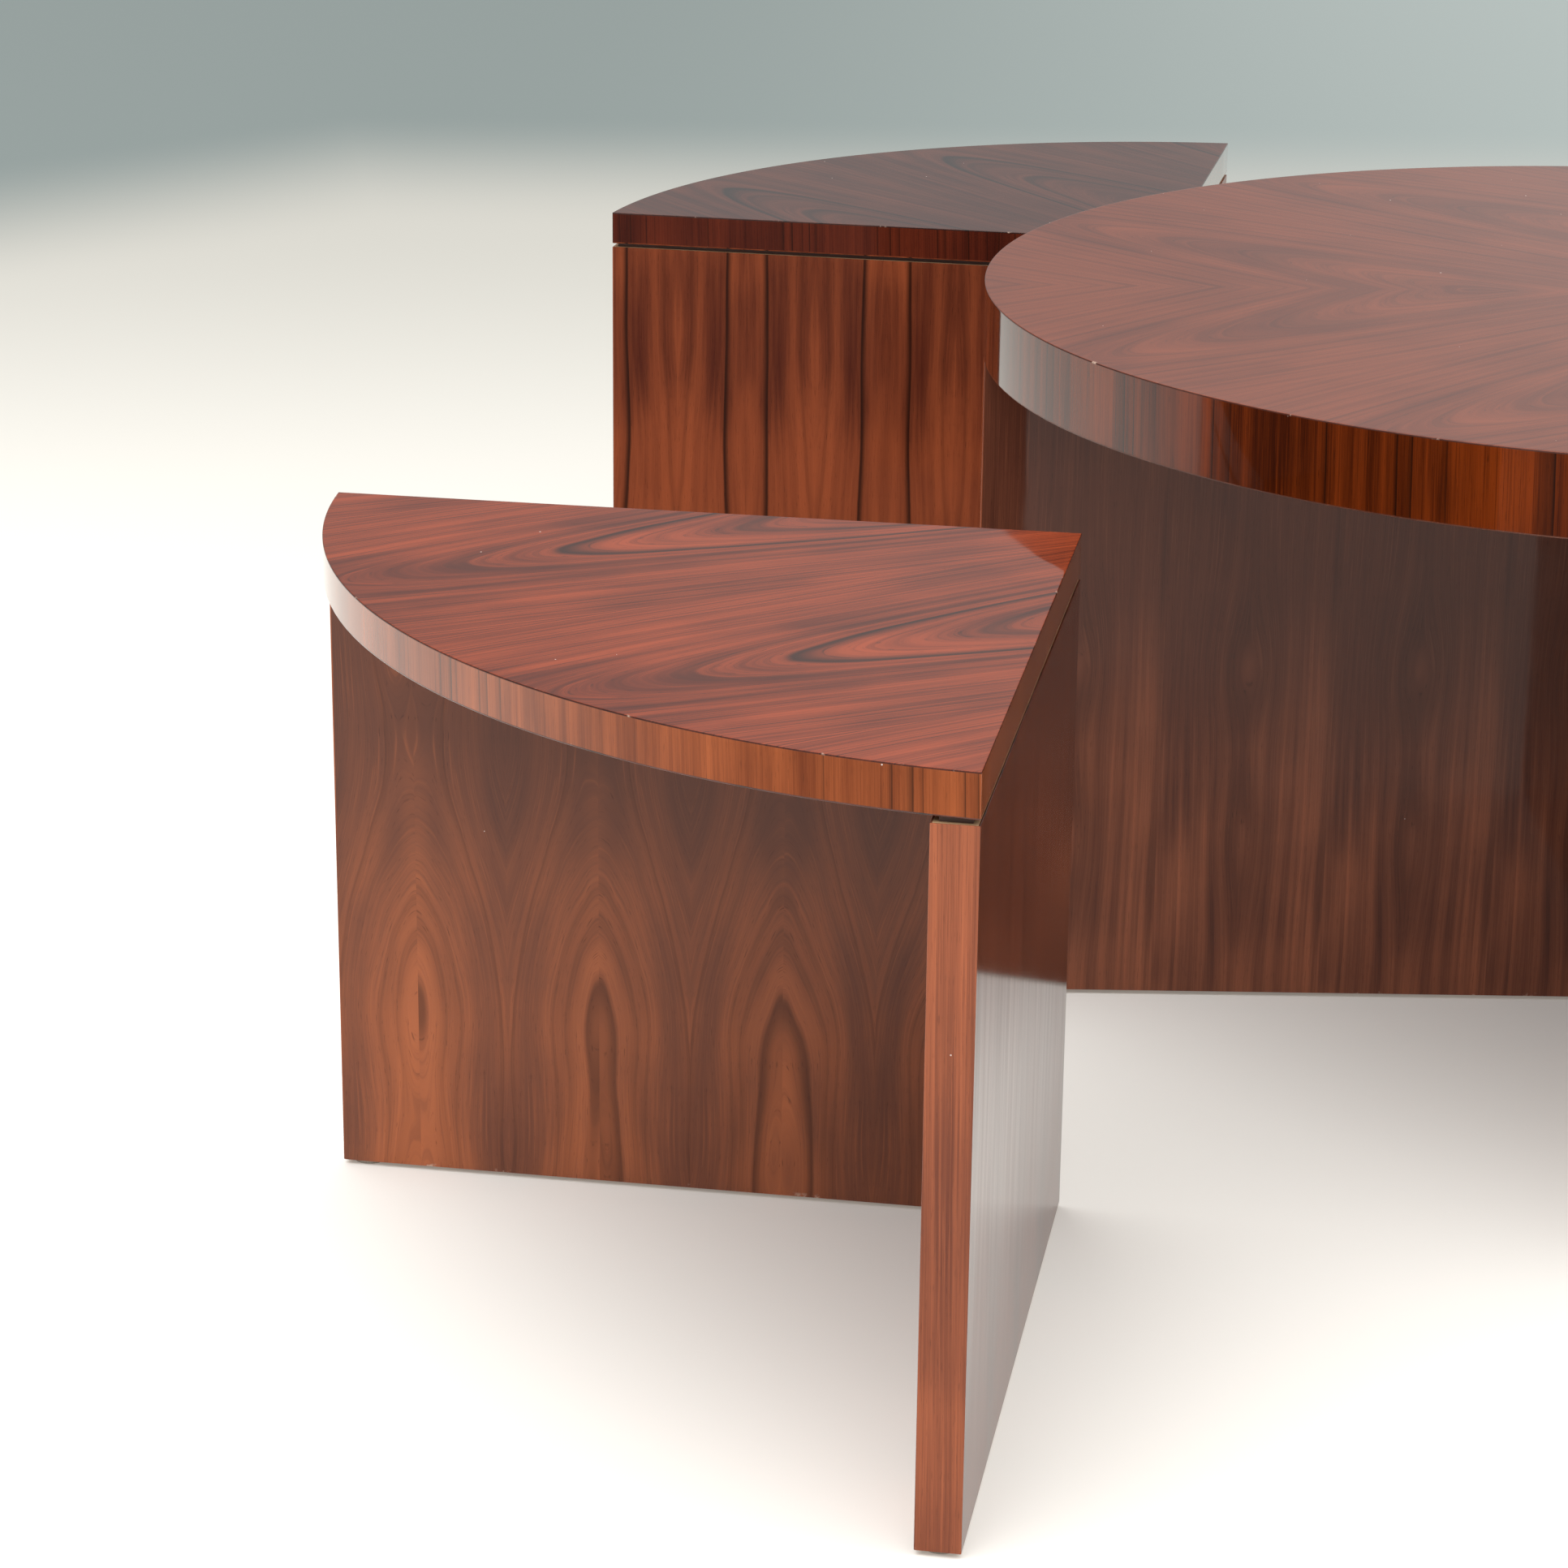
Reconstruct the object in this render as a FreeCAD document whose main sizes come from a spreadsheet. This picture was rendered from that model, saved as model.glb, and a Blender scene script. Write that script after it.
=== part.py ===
import FreeCAD, Part
import math
import os
import re
import Sketcher

# A round table on a cross-shaped base, and four quarter-round tables that nest in its bays.
# +Z is up, and the origin is on the floor under the middle of the round table. Its long base
# panel lies along X and its cross panel along Y. Two quarter tables stand pulled out, the
# other two are nested.

doc = FreeCAD.newDocument("NestingTables")
sizes = doc.addObject("Spreadsheet::Sheet", "Sizes")

# millimetres, and degrees for the turns
drivingSizes = {
    # quarter table
    "edgeLength": 450,          # each straight edge of the top
    "arcSetback": 40,           # how far the arc's centre lies beyond the square corner
    "quarterHeight": 430,       # floor to the top face
    "quarterTop": 25,           # thickness of the top, veneers included
    "quarterPanel": 25,         # thickness of each upright panel, veneers included
    "shadowGap": 3,             # height of the groove between the top and the panels
    "shadowDepth": 4,           # depth of that groove
    # round table
    "roundTop": 50,             # thickness of the top, veneers included
    "basePanel": 25,            # thickness of each base panel, veneers included
    "rimCover": 1.7,            # rim beyond the corner of a nested table
    "headroom": 20,             # over a nested table
    "nestGap": 3.5,             # between a base panel and a nested table
    "baseInset": 0.5,           # ends of the base panels inside the rim
    "slotPlay": 0.2,            # each side of the base's halving joint
    "nearDowel": 90,            # first dowel of a base panel from the middle
    # sheets, fixings and glides
    "skin": 1,                  # veneer with its lacquer
    "arris": 0.7,               # radius of the corners that show
    "easing": 0.4,              # radius along the level edges of the panels
    "glueLine": 0.05,           # on each side of a mitre, and where bands meet
    "dowelDiameter": 8,
    "dowelLength": 40,
    "dowelRise": 15,            # how far a dowel enters the top
    "dowelPlay": 0.1,           # round a dowel and beyond its ends
    "dowelInset": 60,           # outer dowels from the ends of a panel
    "glideDiameter": 20,
    "glideHeight": 3,
    "glideInset": 14,           # centre of a glide from the end of a panel
    # the two tables that are pulled out: their square corners, and their turns about Z
    "frontLeftX": -421,
    "frontLeftY": -370,
    "frontLeftTurn": -9.2,
    "rearLeftX": -306,
    "rearLeftY": 511,
    "rearLeftTurn": -100.8,
}
for row, (name, value) in enumerate(drivingSizes.items(), start=1):
    sizes.set(f"A{row}", name)
    sizes.set(f"B{row}", str(value))
    sizes.setAlias(f"B{row}", name)
doc.recompute()

# Sizes that follow from the driving ones. A size is written by its name, here and in all
# that comes after, and bound() turns the names into references to the sheet.
followingSizes = {
    "arcRadius": "sqrt((edgeLength + arcSetback)^2 + arcSetback^2)",
    "coreRadius": "(arcRadius - skin)",
    "bandReach": "(sqrt(coreRadius^2 - arcSetback^2) - arcSetback)",
    "coreReach": "(sqrt(coreRadius^2 - (arcSetback + skin)^2) - arcSetback)",
    "sheetReach": "(edgeLength - skin)",
    "quarterUnderside": "(quarterHeight - quarterTop)",
    "panelHeight": "(quarterUnderside - shadowGap - glideHeight)",
    "nestOffset": "(basePanel / 2 + nestGap)",
    "rimRadius": "(sqrt((edgeLength + nestOffset)^2 + nestOffset^2) + rimCover)",
    "roundUnderside": "(quarterHeight + headroom)",
    "baseHeight": "(roundUnderside - glideHeight)",
    "baseReach": "(rimRadius - baseInset)",
    "baseFace": "(basePanel / 2)",
    "baseCore": "(basePanel / 2 - skin)",
    "mitreAngle": "(45 deg + glueLine / arris * 1 rad)",
    "mitreTipX": "(arris * (1 - cos(mitreAngle)))",
    "mitreTipY": "(arris * (1 - sin(mitreAngle)))",
    "holeDiameter": "(dowelDiameter + 2 * dowelPlay)",
}


def bound(text):
    while any(re.search(rf"\b{name}\b", text) for name in followingSizes):
        for name, formula in followingSizes.items():
            text = re.sub(rf"\b{name}\b", formula, text)
    return re.sub(r"[A-Za-z]+", lambda word: "Sizes." + word.group()
                  if word.group() in drivingSizes else word.group(), text)


def number(text):
    return float(sizes.evalExpression(bound(text)))


subParts = []


def newSketch(body, name, level):
    # On the body's own XY plane, raised to a level.
    sketch = body.newObject("Sketcher::SketchObject", f"{body.Name}_{name}")
    plane = [item for item in body.Origin.OriginFeatures if item.Role == "XY_Plane"][0]
    sketch.AttachmentSupport = (plane, [""])
    sketch.MapMode = "FlatFace"
    sketch.setExpression("AttachmentOffset.Base.z", bound(level))
    return sketch


def hold(sketch, constraint, formula):
    index = sketch.addConstraint(constraint)
    sketch.setExpression(f"Constraints[{index}]", bound(formula))


def drawOutline(sketch, corners):
    # A closed outline. A corner is (x, y), or (x, y, radius, centre x, centre y) where an
    # arc of less than half a turn about that centre leads from it to the next corner.
    first = sketch.GeometryCount
    points = [FreeCAD.Vector(number(corner[0]), number(corner[1]), 0) for corner in corners]
    startPoints = []
    for corner, start, end in zip(corners, points, points[1:] + points[:1]):
        if len(corner) == 2:
            sketch.addGeometry(Part.LineSegment(start, end))
            startPoints.append(1)
            continue
        centre = FreeCAD.Vector(number(corner[3]), number(corner[4]), 0)
        anticlockwise = (start - centre).cross(end - centre).z > 0
        ends = (start, end) if anticlockwise else (end, start)
        angles = [math.atan2(point.y - centre.y, point.x - centre.x) for point in ends]
        if angles[1] < angles[0]:
            angles[1] += 2 * math.pi
        circle = Part.Circle(centre, FreeCAD.Vector(0, 0, 1), number(corner[2]))
        sketch.addGeometry(Part.ArcOfCircle(circle, *angles))
        startPoints.append(1 if anticlockwise else 2)
    for index, (corner, point, startPoint) in enumerate(zip(corners, points, startPoints)):
        line = first + index
        lineBefore = first + (index - 1) % len(corners)
        endBefore = 3 - startPoints[index - 1]
        joint = Sketcher.Constraint("Coincident", lineBefore, endBefore, line, startPoint)
        sketch.addConstraint(joint)
        hold(sketch, Sketcher.Constraint("DistanceX", line, startPoint, point.x), corner[0])
        hold(sketch, Sketcher.Constraint("DistanceY", line, startPoint, point.y), corner[1])
        if len(corner) > 2:
            hold(sketch, Sketcher.Constraint("Radius", line, number(corner[2])), corner[2])


def drawCircle(sketch, x, y, diameter):
    centre = FreeCAD.Vector(number(x), number(y), 0)
    circle = Part.Circle(centre, FreeCAD.Vector(0, 0, 1), number(diameter) / 2)
    index = sketch.addGeometry(circle)
    hold(sketch, Sketcher.Constraint("DistanceX", index, 3, centre.x), x)
    hold(sketch, Sketcher.Constraint("DistanceY", index, 3, centre.y), y)
    hold(sketch, Sketcher.Constraint("Diameter", index, number(diameter)), diameter)


def drawAll(sketch, outlines, circles):
    for corners in outlines:
        drawOutline(sketch, corners)
    for circle in circles:
        drawCircle(sketch, *circle)


def padded(label, level, height, outlines=(), circles=()):
    # A new sub-part: outlines and circles drawn at one level and padded upwards. A circle
    # inside an outline is a hole through it.
    body = doc.addObject("PartDesign::Body", label)
    body.Label = label
    body.AllowCompound = True
    subParts.append(body)
    sketch = newSketch(body, "outline", level)
    drawAll(sketch, outlines, circles)
    pad = body.newObject("PartDesign::Pad", f"{label}_pad")
    pad.Profile = sketch
    pad.setExpression("Length", bound(height))
    doc.recompute()
    return body


def cut(body, level, depth, upwards, outlines=(), circles=()):
    # Blind holes and slots from one level into the body.
    before = body.Tip.Shape.Volume
    sketch = newSketch(body, "cut", level)
    drawAll(sketch, outlines, circles)
    pocket = body.newObject("PartDesign::Pocket", f"{body.Name}_pocket")
    pocket.Profile = sketch
    pocket.Reversed = upwards
    pocket.setExpression("Length", bound(depth))
    doc.recompute()
    if not pocket.Shape.Volume < before - 1:
        raise RuntimeError(f"{body.Label}: nothing was cut")


def rounded(body, radius, isChosen):
    # Rounds the body's edges for which isChosen(edge) is true.
    base = body.Tip
    edges = [f"Edge{index}" for index, edge in enumerate(base.Shape.Edges, start=1)
             if isChosen(edge)]
    fillet = body.newObject("PartDesign::Fillet", f"{body.Name}_{radius}")
    fillet.Base = (base, edges)
    fillet.setExpression("Radius", bound(radius))
    doc.recompute()


closeTo = 0.001


def isAt(values, place):
    return all(abs(value - place) < closeTo for value in values)


def isLevelAt(edge, *levels):
    heights = [vertex.Z for vertex in edge.Vertexes]
    return any(isAt(heights, number(level)) for level in levels)


def isUpright(edge):
    ends = edge.Vertexes
    return len(ends) == 2 and isAt([ends[0].X - ends[1].X, ends[0].Y - ends[1].Y], 0)


def isOnHole(edge):
    circle = edge.Curve
    return isinstance(circle, Part.Circle) and isAt([circle.Radius], number("holeDiameter / 2"))


def farthest(edge):
    # The larger distance from the origin, along X or Y, of each end of an edge.
    return [max(abs(vertex.X), abs(vertex.Y)) for vertex in edge.Vertexes]


def isOnOuterPlane(edge):
    # On one of the two planes that meet in the square corner of a quarter table.
    return isAt([vertex.X for vertex in edge.Vertexes], 0) or \
        isAt([vertex.Y for vertex in edge.Vertexes], 0)


def swapped(shape):
    # An outline or a circle for the other straight edge: X and Y change places.
    if isinstance(shape, tuple):
        return (shape[1], shape[0]) + shape[2:]
    return [corner[1::-1] + ((corner[2], corner[4], corner[3]) if len(corner) > 2 else ())
            for corner in shape]


def onBothPanels(shapes):
    return [copy for shape in shapes for copy in (shape, swapped(shape))]


def quarterOutline(inset, reach, radius):
    # Square corner, straight edge along X, arc, straight edge along Y.
    return [(f"-{inset}", f"-{inset}"),
            (f"-{reach}", f"-{inset}", radius, "arcSetback", "arcSetback"),
            (f"-{inset}", f"-{reach}")]


def mitredStrip(outer, inner, reach):
    # Along the edge on X, between two depths, mitred at the square corner.
    return [(f"-({outer} + glueLine)", f"-{outer}"), (f"-{reach}", f"-{outer}"),
            (f"-{reach}", f"-{inner}"), (f"-({inner} + glueLine)", f"-{inner}")]


def mitredSkin(outerReach, innerReach):
    # The same for the outermost strip, with its half of the rounded upright corner.
    return [("-mitreTipX", "-mitreTipY", "arris", "-arris", "-arris"), ("-arris", "0"),
            (f"-{outerReach}", "0"), (f"-{innerReach}", "-skin"), ("-(skin + glueLine)", "-skin")]


def endCap(inner, outer, near, far):
    # A strip over a panel's end, from x = inner to x = outer and between two y places,
    # with rounded outer corners. outer lies further from the origin than inner does.
    side = "-" if outer.startswith("-") else ""
    bend = f"({outer} - {side}arris)"
    return [(inner, near), (bend, near, "arris", bend, f"({near} - arris)"),
            (outer, f"({near} - arris)"),
            (outer, f"({far} + arris)", "arris", bend, f"({far} + arris)"),
            (bend, far), (inner, far)]


def stand(bodies, x, y, turn):
    # The turn is about the upright axis; its angle is bound below.
    upright = FreeCAD.Rotation(FreeCAD.Vector(0, 0, 1), 90)
    for body in bodies:
        body.Placement = FreeCAD.Placement(FreeCAD.Vector(0, 0, 0), upright)
        body.setExpression("Placement.Base.x", bound(x))
        body.setExpression("Placement.Base.y", bound(y))
        body.setExpression("Placement.Rotation.Angle", bound(turn))


def isOnHoleSeam(edge):
    # The upright seam of a dowel hole lies inside the outline.
    middle = edge.Vertexes[0].Point
    return not isOnOuterPlane(edge) and middle.x < -closeTo and middle.y < -closeTo


def quarterTop(name):
    level = "quarterUnderside + skin"
    height = "quarterTop - 2 * skin"
    outline = quarterOutline("0", "edgeLength", "arcRadius")
    coreOutline = quarterOutline("skin", "coreReach", "coreRadius")
    holes = dowels("holeDiameter")

    core = padded(f"{name}_top_core", level, height, [coreOutline])
    cut(core, level, "dowelRise - skin + dowelPlay", True, circles=holes)
    face = padded(f"{name}_top_face", "quarterHeight - skin", "skin", [outline])
    rounded(face, "arris", lambda edge: isUpright(edge) or isLevelAt(edge, "quarterHeight"))
    backing = padded(f"{name}_top_backing", "quarterUnderside", "skin", [outline], holes)
    rounded(backing, "arris", lambda edge: isUpright(edge) and not isOnHoleSeam(edge)
            or isLevelAt(edge, "quarterUnderside") and not isOnHole(edge))

    straight = mitredSkin("(bandReach - glueLine)", "(coreReach - glueLine)")
    arc = [("-edgeLength", "0", "arcRadius", "arcSetback", "arcSetback"), ("0", "-edgeLength"),
           ("0", "-bandReach", "coreRadius", "arcSetback", "arcSetback"), ("-bandReach", "0")]
    bands = padded(f"{name}_edge_bands", level, height, onBothPanels([straight]) + [arc])
    rounded(bands, "arris",
            lambda edge: isUpright(edge) and isAt(farthest(edge), number("edgeLength")))


def dowels(diameter):
    # In turn, one for the panel along X and one for the panel along Y.
    along = ("-dowelInset", "-edgeLength / 2", "-(edgeLength - dowelInset)")
    return onBothPanels([(place, "-quarterPanel / 2", diameter) for place in along])


def quarterPanels(name):
    panelTop = "glideHeight + panelHeight"
    core = mitredStrip("skin", "(quarterPanel - skin)", "sheetReach")
    depth = "dowelLength - dowelRise - shadowGap + dowelPlay"
    cores = {"back": (core, dowels("holeDiameter")[0::2]),
             "side": (swapped(core), dowels("holeDiameter")[1::2])}
    for panel, (outline, holes) in cores.items():
        body = padded(f"{name}_{panel}_core", "glideHeight", "panelHeight", [outline])
        cut(body, panelTop, depth, False, circles=holes)

    outer = padded(f"{name}_outer_sheets", "glideHeight", "panelHeight",
                   onBothPanels([mitredSkin("sheetReach", "sheetReach")]))
    rounded(outer, "easing",
            lambda edge: isLevelAt(edge, "glideHeight", panelTop) and isOnOuterPlane(edge))
    innerSheet = mitredStrip("(quarterPanel - skin)", "quarterPanel", "sheetReach")
    padded(f"{name}_inner_sheets", "glideHeight", "panelHeight", onBothPanels([innerSheet]))
    cap = endCap("-sheetReach", "-edgeLength", "0", "-quarterPanel")
    caps = padded(f"{name}_end_bands", "glideHeight", "panelHeight", onBothPanels([cap]))
    rounded(caps, "easing", lambda edge: isLevelAt(edge, "glideHeight", panelTop)
            and isAt(farthest(edge), number("edgeLength")))


def quarterFixings(name):
    spacer = mitredStrip("shadowDepth", "(quarterPanel - shadowDepth)",
                         "(edgeLength - shadowDepth)")
    padded(f"{name}_spacers", "glideHeight + panelHeight", "shadowGap",
           onBothPanels([spacer]), dowels("holeDiameter"))
    padded(f"{name}_dowels", "quarterUnderside + dowelRise - dowelLength", "dowelLength",
           circles=dowels("dowelDiameter"))
    end = ("-(edgeLength - glideInset)", "-quarterPanel / 2", "glideDiameter")
    corner = ("-glideInset", "-glideInset", "glideDiameter")
    padded(f"{name}_glides", "0", "glideHeight", circles=onBothPanels([end]) + [corner])


def quarterTable(name, x, y, turn):
    # Built with its square corner over the origin and its straight edges along -X and -Y,
    # then stood in its place.
    first = len(subParts)
    quarterTop(name)
    quarterPanels(name)
    quarterFixings(name)
    stand(subParts[first:], x, y, turn)


def aroundMiddle(shapes):
    # Copies in all four quarters, from the one with positive X and Y.
    copies = []
    for signX in ("", "-"):
        for signY in ("", "-"):
            copies += [[(signX + x, signY + y) for x, y in shape] for shape in shapes]
    return copies


def onFourArms(distance, diameter):
    return [(distance, "0", diameter), (f"-{distance}", "0", diameter),
            ("0", distance, diameter), ("0", f"-{distance}", diameter)]


def roundDowels(diameter):
    return onFourArms("nearDowel", diameter) + onFourArms("(baseReach - dowelInset)", diameter)


def roundTop():
    level = "roundUnderside + skin"
    height = "roundTop - 2 * skin"
    disc = [("0", "0", "2 * rimRadius")]
    innerDisc = [("0", "0", "2 * (rimRadius - skin)")]
    holes = roundDowels("holeDiameter")
    core = padded("round_top_core", level, height, circles=innerDisc)
    cut(core, level, "dowelRise - skin + dowelPlay", True, circles=holes)
    face = padded("round_top_face", "roundUnderside + roundTop - skin", "skin", circles=disc)
    rounded(face, "arris", lambda edge: isLevelAt(edge, "roundUnderside + roundTop"))
    backing = padded("round_top_backing", "roundUnderside", "skin", circles=disc + holes)
    rounded(backing, "arris",
            lambda edge: isLevelAt(edge, "roundUnderside") and not isOnHole(edge))
    padded("round_rim_band", level, height, circles=disc + innerDisc)


def rectangle(lowX, lowY, highX, highY):
    return [(lowX, lowY), (highX, lowY), (highX, highY), (lowX, highY)]


def roundBase():
    # Two panels halved into each other, the long one slotted from above and the cross
    # one from below.
    half = "baseHeight / 2"
    slot = rectangle("-(baseCore + slotPlay)", "-basePanel", "(baseCore + slotPlay)", "basePanel")
    core = rectangle("-(baseReach - skin)", "-baseCore", "(baseReach - skin)", "baseCore")
    depth = "dowelLength - dowelRise + dowelPlay"
    holes = roundDowels("holeDiameter")
    alongX = [hole for hole in holes if hole[1] == "0"]
    alongY = [hole for hole in holes if hole[0] == "0"]
    long = padded("base_long_core", "glideHeight", "baseHeight", [core])
    cut(long, "roundUnderside", half, False, [slot])
    cut(long, "roundUnderside", depth, False, circles=alongX)
    cross = padded("base_cross_core", "glideHeight", "baseHeight", [swapped(core)])
    cut(cross, "glideHeight", half, True, [swapped(slot)])
    cut(cross, "roundUnderside", depth, False, circles=alongY)

    longSheet = rectangle("baseFace", "baseCore", "(baseReach - skin)", "baseFace")
    crossSheet = rectangle("baseCore", "baseCore", "baseFace", "(baseReach - skin)")
    longSheets = padded("base_long_sheets", "glideHeight", "baseHeight", aroundMiddle([longSheet]))
    rounded(longSheets, "easing", lambda edge: isLevelAt(edge, "glideHeight") and isAt(
        [abs(vertex.Y) for vertex in edge.Vertexes], number("baseFace")))
    crossSheets = padded("base_cross_sheets", "glideHeight", "baseHeight",
                         aroundMiddle([crossSheet]))
    rounded(crossSheets, "easing", lambda edge: isLevelAt(edge, "glideHeight") and isAt(
        [abs(vertex.X) for vertex in edge.Vertexes], number("baseFace")))
    caps = [endCap("(baseReach - skin)", "baseReach", "baseFace", "-baseFace"),
            endCap("-(baseReach - skin)", "-baseReach", "baseFace", "-baseFace")]
    bands = padded("base_end_bands", "glideHeight", "baseHeight", onBothPanels(caps))
    rounded(bands, "easing", lambda edge: isLevelAt(edge, "glideHeight")
            and isAt(farthest(edge), number("baseReach")))


def roundFixings():
    padded("base_dowels", "roundUnderside + dowelRise - dowelLength", "dowelLength",
           circles=roundDowels("dowelDiameter"))
    glides = onFourArms("(baseReach - glideInset)", "glideDiameter")
    padded("base_glides", "0", "glideHeight", circles=glides + [("0", "0", "glideDiameter")])


roundTop()
roundBase()
roundFixings()
quarterTable("front_left", "frontLeftX", "frontLeftY", "frontLeftTurn")
quarterTable("rear_left", "rearLeftX", "rearLeftY", "rearLeftTurn")
quarterTable("rear_right", "nestOffset", "nestOffset", "180")
quarterTable("front_right", "nestOffset", "-nestOffset", "90")
doc.recompute()

for item in doc.Objects:
    if "Invalid" in item.State or "Error" in item.State:
        raise RuntimeError(f"{item.Label} did not compute")
for body in subParts:
    if body.Shape.isNull() or not body.Shape.isValid():
        raise RuntimeError(f"{body.Label} has no valid shape")

os.makedirs("parts", exist_ok=True)
for body in subParts:
    body.Shape.exportStep(f"parts/{body.Label}.step")
    print(f"{body.Label}: {len(body.Shape.Solids)} solids, {body.Shape.Volume / 1000:.1f} cm3")
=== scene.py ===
import math

import bmesh
import bpy
import numpy as np
from mathutils import Matrix, Vector


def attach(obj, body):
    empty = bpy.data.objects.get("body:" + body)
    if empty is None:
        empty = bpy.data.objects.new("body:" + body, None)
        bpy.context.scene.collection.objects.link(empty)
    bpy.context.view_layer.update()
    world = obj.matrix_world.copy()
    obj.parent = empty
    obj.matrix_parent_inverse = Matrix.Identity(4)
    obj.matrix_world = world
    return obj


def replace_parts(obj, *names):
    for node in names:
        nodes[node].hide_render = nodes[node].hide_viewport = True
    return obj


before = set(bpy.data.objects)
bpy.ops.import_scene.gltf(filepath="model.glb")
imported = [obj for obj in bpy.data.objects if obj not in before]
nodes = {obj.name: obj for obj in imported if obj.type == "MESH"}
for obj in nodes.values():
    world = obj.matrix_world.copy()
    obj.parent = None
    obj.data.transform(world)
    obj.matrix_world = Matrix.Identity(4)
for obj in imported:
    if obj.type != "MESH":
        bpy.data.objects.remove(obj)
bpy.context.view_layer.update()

print("loaded the packed tables:", len(nodes), "nodes")

meshing = {"mergeWithin": 1e-6, "sharpAngle": 35}


def meshFromGrid(name, points, across, along, edge):
    # points[i, j] is row i of a closed loop j. Quads join each row to the next one, and
    # the first and last rows close to a point or onto each other.
    rows, steps = points.shape[:2]
    i, j = np.meshgrid(np.arange(rows - 1), np.arange(steps - 1), indexing="ij")
    corners = np.stack([i * steps + j, i * steps + j + 1,
                        (i + 1) * steps + j + 1, (i + 1) * steps + j], -1).reshape(-1, 4)
    mesh = bpy.data.meshes.new(name)
    mesh.from_pydata(points.reshape(-1, 3).tolist(), [], corners.tolist())
    grain = mesh.uv_layers.new(name="grain")
    flat = corners.reshape(-1)
    grain.data.foreach_set("uv", np.stack([across.reshape(-1)[flat],
                                           along.reshape(-1)[flat]], -1).reshape(-1))
    fromEdge = mesh.attributes.new("edge", "FLOAT", "POINT")
    fromEdge.data.foreach_set("value", edge.reshape(-1))
    work = bmesh.new()
    work.from_mesh(mesh)
    bmesh.ops.remove_doubles(work, verts=work.verts, dist=meshing["mergeWithin"])
    work.to_mesh(mesh)
    work.free()
    mesh.polygons.foreach_set("use_smooth", np.ones(len(mesh.polygons), bool))
    mesh.set_sharp_from_angle(angle=math.radians(meshing["sharpAngle"]))
    mesh.update()
    piece = bpy.data.objects.new(name, mesh)
    bpy.context.scene.collection.objects.link(piece)
    return piece


def quarterLoop(shape):
    # The outline as a skeleton line moved outwards along its normals: both straight
    # edges, the arc about (setback, setback), and a fan of normals at each corner.
    reach, setback, arris = shape["edgeLength"], shape["arcSetback"], shape["arris"]
    radius = math.hypot(reach + setback, setback) - arris
    start = math.pi + math.asin((setback + arris) / radius)
    end = 1.5 * math.pi - (start - math.pi)
    far = setback + radius * math.cos(start)
    turns = [(0, math.pi / 2, shape["cornerSteps"]), (math.pi / 2, math.pi / 2, shape["edgeSteps"]),
             (math.pi / 2, start, shape["cornerSteps"]), (start, end, shape["arcSteps"]),
             (end, 2 * math.pi, shape["cornerSteps"]), (2 * math.pi, 2 * math.pi, shape["edgeSteps"])]
    angle = np.concatenate([np.linspace(a, b, n + 1) for a, b, n in turns])
    parts = [np.full((n + 1, 2), -arris) for a, b, n in turns]
    parts[1][:, 0] = np.linspace(-arris, far, turns[1][2] + 1)
    parts[2][:, 0] = far
    arc = np.linspace(start, end, turns[3][2] + 1)
    parts[3] = setback + radius * np.stack([np.cos(arc), np.sin(arc)], -1)
    parts[4][:, 1] = far
    parts[5][:, 1] = np.linspace(far, -arris, turns[5][2] + 1)
    skeleton = np.concatenate(parts)
    normal = np.stack([np.cos(angle), np.sin(angle)], -1)
    return skeleton, normal, arris


def roundLoop(shape):
    # A circle, as normals about the middle carried by a circle one arris smaller.
    angle = np.linspace(0, 2 * math.pi, shape["steps"] + 1)
    normal = np.stack([np.cos(angle), np.sin(angle)], -1)
    normal[-1] = normal[0]
    return (shape["radius"] - shape["arris"]) * normal, normal, shape["arris"]


def carried(loop, profile):
    # Profile rows are (inset, height, pull): the loop moved inwards by the inset, drawn
    # towards its middle by the pull, and raised to the height.
    skeleton, normal, arris = loop
    inset, height, pull = np.array(profile).T
    plan = skeleton[None] + (arris - inset)[:, None, None] * normal[None]
    middle = skeleton.mean(0)
    plan = plan + pull[:, None, None] * (middle - plan)
    level = np.broadcast_to(height[:, None, None], plan.shape[:2] + (1,))
    return np.concatenate([plan, level], -1)


def stood(points, place):
    # Turned about the upright axis and moved to the table's corner.
    x, y, turn = place
    c, s = math.cos(math.radians(turn)), math.sin(math.radians(turn))
    placed = points.copy()
    placed[..., 0] = x + c * points[..., 0] - s * points[..., 1]
    placed[..., 1] = y + s * points[..., 0] + c * points[..., 1]
    return placed


def topLeaf(name, loop, shape, place):
    # A thin sheet: flat underneath, upright edge, quarter-round arris, flat face.
    top, bevel = shape["height"], shape["arris"] - shape["bevelSlack"]
    bend = np.linspace(0, math.pi / 2, shape["arrisSteps"] + 1)
    inward, upward = bevel * (1 - np.cos(bend)), bevel * (np.sin(bend) - 1)
    profile = [(0, top - shape["skin"], 1), (0, top - shape["skin"], 0)]
    profile += [(inset, top + rise, 0) for inset, rise in zip(inward, upward)]
    profile += [(bevel, top, pull) for pull in shape["flatRows"]]
    points = carried(loop, profile)
    depth = np.concatenate([[0, 0], inward, bevel + shape["flatReach"] * np.array(shape["flatRows"])])
    edge = np.broadcast_to(depth[:, None], points.shape[:2])
    return meshFromGrid(name, stood(points, place), points[..., 0], points[..., 1], edge)


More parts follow.
